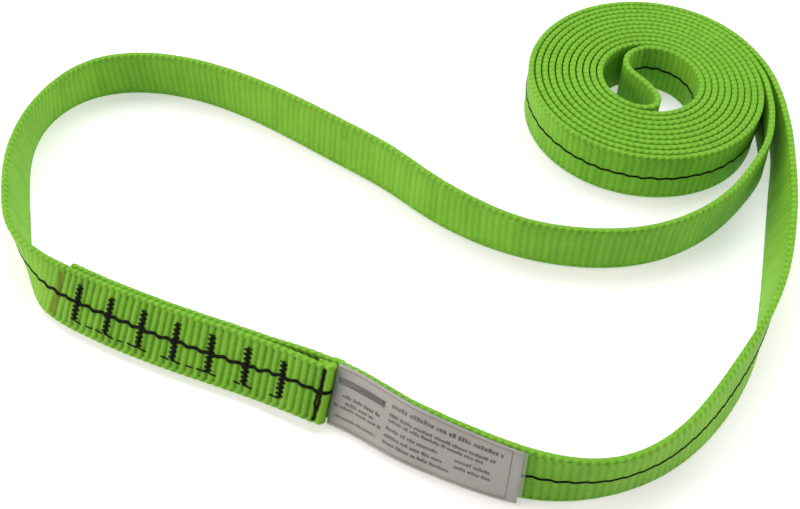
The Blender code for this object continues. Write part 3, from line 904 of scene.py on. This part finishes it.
# ---------------------------------------------------------------- tracer yarn
def tracer_run(track):
    # Flat yarn that weaves a little up and down, wide on each rib and narrow between two
    tape = track.tape
    crest = rib_profile(tape / RIB)
    sewn = smooth_step(S_SPLICE - 20.0, S_SPLICE, track.s)
    sewn = sewn * (1.0 - smooth_step(S_HEM, S_HEM + 20.0, track.s))
    swing = (0.26 + 0.1 * sewn) * np.sin(math.pi * tape / RIB + 0.8) + 0.22 * by_rib(EDGE_WAVE, tape)
    drift = 1.4 * smooth_step(S_SPLICE + 86.0, S_SPLICE + 106.0, track.s)
    drift = drift * (1.0 - smooth_step(S_HEM, S_HEM + 40.0, track.s))
    middle = WIDTH / 2 + swing + drift
    half_wide = 0.52 + 0.1 * crest + 0.16 * sewn
    floor = HALF - rib_depth_at(track.s) * by_rib(RIB_VARY, tape) * (1.0 - crest)
    a = np.arange(10) * 2.0 * math.pi / 10
    height = middle[:, None] + half_wide[:, None] * np.cos(a)[None, :]
    depth = (floor + 0.04 + 0.1 * sewn)[:, None] - 0.3 * np.sin(a)[None, :]
    return track.place(height, depth)


def cut(track, a, b):
    keep = (track.tape >= a) & (track.tape <= b)
    columns = (track.s, track.t, track.rise, track.tape, track.fs, track.ft)
    return Track(*[column[keep] for column in columns])


def yarn(name, *runs):
    return swept(name, [tracer_run(run) for run in runs], LOOKS["tracer"])


fold_tip = float(front_track.tape[np.argmax(front_track.s)])
tracer_loop = yarn("yarn_upper_leg", upper_track)
tracer_front = yarn("yarn_splice", cut(front_track, 0, fold_tip + 1.5))
tracer_back = yarn("yarn_lower_leg", cut(back_track, S_HEM + 3.0, TO_END))
tracer_roll = yarn("yarn_roll", cut(outer_track, 0, s_out_roll + YARN_IN_ROLL))
core_runs = (cut(core_track, YARN_FROM_FOLD, TO_END), cut(inner_track, 0, s_core + YARN_IN_CORE))
tracer_core = yarn("yarn_core", *core_runs)
tracer_in = yarn("yarn_exit_inner", exit_in_track)
tracer_out = yarn("yarn_exit_outer", exit_out_track)


# ---------------------------------------------------------------- stitching on the splice
def bar_tack(name, node, s_mid, order):
    # Zigzag with pointed teeth over a thick core, as one satin bar
    draw = np.random.RandomState(40 + order)
    pts = []
    for i in range(TACK_STROKES):
        h = TACK_LOW + 0.3 + (TACK_HEIGHT - 0.6) * i / (TACK_STROKES - 1)
        side = 1.0 if (i + order) % 2 else -1.0
        reach = side * (TACK_REACH + draw.uniform(-0.22, 0.22))
        drop = draw.uniform(0.0, 0.3)
        off = TACK_LEAN * (h - WIDTH / 2)
        pts.append((s_mid + off + 0.1 * reach, h - 0.32, 0.36))
        pts.append((s_mid + off + 0.75 * reach, h - 0.14 - 0.6 * drop, 0.2))
        pts.append((s_mid + off + reach, h - drop, -0.1))
        pts.append((s_mid + off + 0.75 * reach, h + 0.14 - 0.6 * drop, 0.2))
    pts = np.array(pts)
    runs = [thread_rings(front_spot(pts[:, 0], pts[:, 1], pts[:, 2]), TACK_TOOTH)]
    for shift in (-0.22, 0.22):
        h = np.linspace(TACK_LOW + 0.1, TACK_LOW + TACK_HEIGHT - 0.1, 48)
        s = s_mid + shift + TACK_LEAN * (h - WIDTH / 2) + 0.1 * np.sin(h * 2.1 + shift * 9 + order)
        lift = 0.12 + 0.08 * np.sin(h * 3.2 + shift * 5)
        runs.append(thread_rings(front_spot(s, h, lift), TACK_CORE))
    obj = swept(name, runs, LOOKS["thread"])
    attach(obj, "loop")
    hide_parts(node)
    return obj


for i, s in enumerate(S_TACKS):
    bar_tack("thread_tack_%d" % (i + 1), "bar_tack_%d" % (i + 1), s, i)


def dash(s_a, s_b, h_a, h_b):
    # One visible stitch of the line along the tacks' lower ends; it rises from the tape and dips back in
    u = np.linspace(0.0, 1.0, 14)
    lift = 0.22 * np.sin(math.pi * u) ** 0.6 - 0.12
    return thread_rings(front_spot(s_a + (s_b - s_a) * u, h_a + (h_b - h_a) * u, lift), EDGE_THREAD)


def edge_dashes():
    # Two or three stitches of uneven length between each tack and the next
    runs = []
    draw = np.random.RandomState(5)
    for s in S_TACKS[:-1]:
        h = TACK_LOW - 0.1
        runs.append(dash(s + 0.9, s + draw.uniform(3.8, 5.0), h + 0.1, h - 0.3))
        if draw.uniform() > 0.4:
            s_mid = s + draw.uniform(6.2, 7.6)
            runs.append(dash(s_mid, s_mid + draw.uniform(1.8, 3.4), h + draw.uniform(-0.3, 0.2), h))
        runs.append(dash(s + TACK_PITCH - draw.uniform(3.6, 4.8), s + TACK_PITCH - 1.0, h + 0.25, h))
    return runs


edge_stitch = swept("thread_edge_line", edge_dashes(), LOOKS["thread"])
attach(edge_stitch, "loop")
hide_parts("edge_stitch")


def hem_row(name, node, curve, seed):
    # One row of thread up the hem: short stitches that dip into the tape
    h = np.arange(1.5, 23.6, 0.25)
    s = S_HEM - np.interp(h, [p[0] for p in curve], [p[1] for p in curve])
    s = s + 0.1 * np.sin(h * 1.9 + seed)
    lift = 0.02 + 0.16 * np.abs(np.sin(h * math.pi / 2.7)) - 0.42 * np.exp(-((s - S_STITCH) / 1.1) ** 2)
    obj = swept(name, [thread_rings(front_spot(s, h, lift), HEM_THREAD)], LOOKS["thread"])
    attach(obj, "loop")
    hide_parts(node)
    return obj


row_1 = ((1.5, 4.3), (5.0, 3.9), (6.0, 4.1), (9.0, 4.7), (12.0, 4.3), (15.0, 3.7), (23.6, 3.7))
row_2 = ((1.5, 4.1), (4.5, 3.9), (6.0, 3.5), (9.0, 2.9), (12.0, 3.1), (15.0, 3.3), (23.6, 3.2))
hem_1 = hem_row("thread_hem_1", "hem_stitch_1", row_1, 1)
hem_2 = hem_row("thread_hem_2", "hem_stitch_2", row_2, 2)


# ---------------------------------------------------------------- ink mark
def ink_patch():
    s_ink = S_SPLICE - 0.9
    s = np.arange(s_ink - 2.8, s_ink + 2.81, RIB / 12)
    h = np.linspace(0.8, 22.6, 45)
    crest = rib_profile(s / RIB)
    skin = HALF - rib_depth_at(s) * by_rib(RIB_VARY, s) * (1.0 - crest) + 0.05
    track = Track(s, front_layer(s), no_shift(s), s)
    # The stain's half width and strength both change up the tape
    half_wide = np.interp(h, [0, 11, 13, 23], [2.1, 1.9, 1.3, 1.1])[None, :]
    strength = np.interp(h, [0.8, 2.0, 10.5, 12.5, 21.0, 22.6], [0, 0.34, 0.38, 0.55, 0.6, 0])[None, :]
    far = (s[:, None] - s_ink + 0.5 * np.sin(h * 0.35)[None, :]) / half_wide
    cover = np.exp(-far ** 2 * 1.6) * strength
    grid = (len(s), len(h))
    top = track.place(np.broadcast_to(h, grid), np.broadcast_to(skin[:, None], grid))
    low = track.place(np.broadcast_to(h, grid), np.broadcast_to(skin[:, None] - 0.03, grid))
    obj = slab("ink_stain", top, low, LOOKS["ink"])
    add_value(obj.data, "cover", np.tile(cover.ravel(), 2))
    return obj


def slab(name, top, low, look):
    # Closed thin body between two grids of points
    rows, cols = top.shape[:2]
    verts = np.concatenate([top.reshape(-1, 3), low.reshape(-1, 3)])
    n = rows * cols
    faces = []
    for i in range(rows - 1):
        for j in range(cols - 1):
            a = i * cols + j
            b = a + cols
            faces.append((a, b, b + 1, a + 1))
            faces.append((n + a, n + a + 1, n + b + 1, n + b))
    rim = [j for j in range(cols)]
    rim += [i * cols + cols - 1 for i in range(1, rows)]
    rim += [(rows - 1) * cols + j for j in range(cols - 2, -1, -1)]
    rim += [i * cols for i in range(rows - 2, 0, -1)]
    for p, q in zip(rim, rim[1:] + rim[:1]):
        faces.append((p, q, n + q, n + p))
    return make_mesh(name, verts, faces, look)


ink = ink_patch()
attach(ink, "loop")
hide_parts("ink_mark")


# ---------------------------------------------------------------- label
def label_grid(s, h, lift):
    track = Track(s, label_layer(s), no_shift(s), s)
    lift = np.broadcast_to(np.asarray(lift, float), (len(s), len(h)))
    return track.place(np.broadcast_to(h, (len(s), len(h))), lift)


def label_plate(name, s_a, s_b, h_a, h_b, top, low, look):
    # Flat plate that follows the label's bend; top and low are its faces' distances from the label's middle
    s = np.linspace(s_a, s_b, int((s_b - s_a) / CARD_STEP))
    h = np.linspace(h_a, h_b, 8)
    return slab(name, label_grid(s, h, top), label_grid(s, h, low), look)


low_insert = LABEL_LOW + (LABEL_HEIGHT - INSERT_HEIGHT) / 2
high_insert = low_insert + INSERT_HEIGHT
insert = label_plate("label_card", S_LABEL - 0.5, S_LABEL + LABEL_LENGTH - 1.5, low_insert, high_insert,
                     -0.1, -0.4, LOOKS["label"])
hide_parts("label_insert")


def sleeve():
    # Flat clear tube: two walls joined along the long edges
    s = np.linspace(S_LABEL - 0.5, S_LABEL + LABEL_LENGTH, 54)
    top, low = LABEL_LOW + LABEL_HEIGHT - 0.05, LABEL_LOW + 0.05
    loop = []
    for h in np.linspace(low + 0.9, top - 0.9, 9):
        loop.append((h, 0.85))
    for a in np.radians([60, 30, 0, -30, -60]):
        loop.append((top - 0.9 + 0.9 * math.cos(a), 0.85 * math.sin(a)))
    for h in np.linspace(top - 0.9, low + 0.9, 9):
        loop.append((h, -0.85))
    for a in np.radians([-60, -30, 0, 30, 60]):
        loop.append((low + 0.9 - 0.9 * math.cos(a), 0.85 * math.sin(a)))
    loop = np.array(loop)
    inner = loop * [1.0, 0.78]
    inner[:, 0] = WIDTH / 2 + (inner[:, 0] - WIDTH / 2) * 0.975
    track = Track(s, label_layer(s), no_shift(s), s)
    out = track.place(np.tile(loop[:, 0], (len(s), 1)), np.tile(loop[:, 1], (len(s), 1)))
    ins = track.place(np.tile(inner[:, 0], (len(s), 1)), np.tile(inner[:, 1], (len(s), 1)))
    m = len(loop)
    count = len(s)
    verts = np.concatenate([out.reshape(-1, 3), ins.reshape(-1, 3)])
    n = count * m
    faces = []
    for i in range(count - 1):
        for j in range(m):
            k = (j + 1) % m
            a = i * m
            b = a + m
            faces.append((a + j, b + j, b + k, a + k))
            faces.append((n + a + j, n + a + k, n + b + k, n + b + j))
    for i, flip in ((0, False), (count - 1, True)):
        for j in range(m):
            k = (j + 1) % m
            q = (i * m + j, i * m + k, n + i * m + k, n + i * m + j)
            faces.append(q[::-1] if flip else q)
    return make_mesh("label_film", verts, faces, LOOKS["film"])


film = sleeve()
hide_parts("label_sleeve")


def print_bar(s_a, s_b, h_a, h_b):
    # One flat printed mark on the card, as rings for swept()
    s = np.linspace(s_a, s_b, max(2, int((s_b - s_a) / 2.0) + 2))
    track = Track(s, label_layer(s), no_shift(s), s)
    height = np.tile([h_a, h_a, h_b, h_b], (len(s), 1))
    depth = np.tile([0.0, 0.06, 0.06, 0.0], (len(s), 1))
    return track.place(height, depth)


def blank_line(draw, s_a, s_b, h, tall):
    # A line of blank blocks, grouped like words
    out = []
    s = s_a
    left_in_word = draw.randint(2, 9)
    while s < s_b:
        wide = tall * draw.uniform(0.42, 0.68)
        rise = tall * draw.choice([0.72, 0.72, 1.0])
        out.append(print_bar(s, s + wide, h - tall / 2, h - tall / 2 + rise))
        left_in_word -= 1
        s += wide + tall * 0.17
        if left_in_word == 0:
            s += tall * 0.45
            left_in_word = draw.randint(2, 9)
    return out


def border_lines():
    low = low_insert + 1.0
    high = high_insert - 1.0
    a = S_LABEL - 0.3
    b = S_LABEL + LABEL_LENGTH - 5.5
    wide = 0.3
    out = [print_bar(a, b, low, low + wide), print_bar(a, b, high - wide, high)]
    out.append(print_bar(b - wide, b, low + wide, high - wide))
    return out


border = swept("label_frame_line", border_lines(), LOOKS["border"])
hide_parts("label_border")
# Start and end along the label, height, letter height
BLANK_LINES = (
    (3.6, 19.4, 14.0, 1.5),
    (5.4, 17.4, 11.4, 1.5),
    (1.0, 21.0, 9.2, 1.3),
    (2.0, 19.8, 4.9, 1.1),
    (24.4, 68.8, 21.2, 1.9),
    (24.0, 66.4, 17.0, 1.4),
    (24.0, 62.0, 14.7, 1.4),
    (23.6, 44.4, 11.0, 1.5),
    (23.4, 47.4, 7.8, 1.5),
    (23.4, 50.4, 4.8, 1.5),
    (52.0, 65.4, 10.9, 1.5),
    (52.0, 66.2, 7.9, 1.5),
)


def blank_text():
    # A plain bar above the blank lines; no mark is a letter
    draw = np.random.RandomState(3)
    bars = [print_bar(S_LABEL + 0.8, S_LABEL + 21.4, 18.2, 20.9)]
    for s_a, s_b, h, tall in BLANK_LINES:
        bars += blank_line(draw, S_LABEL + s_a, S_LABEL + s_b, h, tall)
    return bars


text_bars = swept("label_blank_text", blank_text(), LOOKS["bars"])
for obj in (insert, film, border, text_bars):
    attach(obj, "label")


for obj, nodes in (
    (tracer_loop, ("tracer_upper", "tracer_left")),
    (tracer_front, ("tracer_splice",)),
    (tracer_back, ("tracer_right",)),
):
    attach(obj, "loop")
    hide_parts(*nodes)
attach(tracer_roll, "roll")
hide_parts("tracer_roll")
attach(tracer_core, "roll")
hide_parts("tracer_core", "tracer_fold")

declare(web_upper, ("web_upper_run", "web_left_bend"), "loop")
declare(web_front, ("web_splice_front", "web_hem_fold"), "loop")
declare(web_back, ("web_splice_back", "web_right_bend", "web_right_run"), "loop")
declare(web_inner, ("web_roll_inner",), "roll")
declare(web_outer, ("web_roll_outer",), "roll")
declare(web_core, ("web_core_fold",), "roll")
for obj, track, s_loop, s_roll, tracer in (
    (web_exit_in, exit_in_track, s_in_loop, s_in_roll, tracer_in),
    (web_exit_out, exit_out_track, s_out_loop, s_out_roll, tracer_out),
):
    for piece in (obj, tracer):
        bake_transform(piece)

# ---------------------------------------------------------------- floor, light and camera
FLOOR_HALF = 6.0
FLOOR_Z = -0.0002
WORLD_LIGHT = 0.25
LENS = 48.6
SENSOR = 36.0
CAMERA_AT = (-0.0016, -0.3198, 0.3543)
CAMERA_TILT = 40.8

floor_mesh = bpy.data.meshes.new("floor")
corners = [(x * FLOOR_HALF, y * FLOOR_HALF, FLOOR_Z) for x, y in ((-1, -1), (1, -1), (1, 1), (-1, 1))]
floor_mesh.from_pydata(corners, [], [(0, 1, 2, 3)])
floor_mesh.materials.append(floor_look())
floor = bpy.data.objects.new("floor", floor_mesh)
bpy.context.scene.collection.objects.link(floor)


def soft_box(name, place, target, size, power, colour=(1.0, 1.0, 1.0)):
    # Rectangular lamp at place, aimed at target, in metres and watts
    light = bpy.data.lights.new(name, "AREA")
    light.shape = "RECTANGLE"
    light.size, light.size_y = size
    light.energy = power
    light.color = colour
    obj = bpy.data.objects.new(name, light)
    bpy.context.scene.collection.objects.link(obj)
    spot = np.array(place)
    away = spot - np.array(target)
    obj.location = place
    obj.rotation_euler = (math.acos(away[2] / np.linalg.norm(away)), 0.0, math.atan2(away[0], -away[1]))


soft_box("key_left", (-1.25, -0.1, 0.5), (0.0, 0.0, 0.0), (0.8, 0.9), 14.0, (1.0, 0.8, 0.74))
soft_box("fill_right", (1.25, -0.12, 0.5), (0.0, 0.0, 0.0), (0.8, 0.9), 9.5, (1.0, 0.82, 0.78))
soft_box("overhead", (0.0, 0.5, 1.1), (0.0, 0.05, 0.0), (1.3, 0.7), 12.5)

world = bpy.data.worlds.new("studio")
world.use_nodes = True
world.node_tree.nodes["Background"].inputs["Color"].default_value = (1.0, 1.0, 1.0, 1.0)
world.node_tree.nodes["Background"].inputs["Strength"].default_value = WORLD_LIGHT
bpy.context.scene.world = world
bpy.context.scene.view_settings.view_transform = "Standard"
bpy.context.scene.view_settings.look = "None"

lens = bpy.data.cameras.new("camera")
lens.lens = LENS
lens.sensor_width = SENSOR
lens.sensor_fit = "HORIZONTAL"
lens.clip_start = 0.01
camera = bpy.data.objects.new("camera", lens)
camera.location = CAMERA_AT
camera.rotation_euler = (math.radians(CAMERA_TILT), 0.0, 0.0)
bpy.context.scene.collection.objects.link(camera)
bpy.context.scene.camera = camera

bpy.context.view_layer.update()
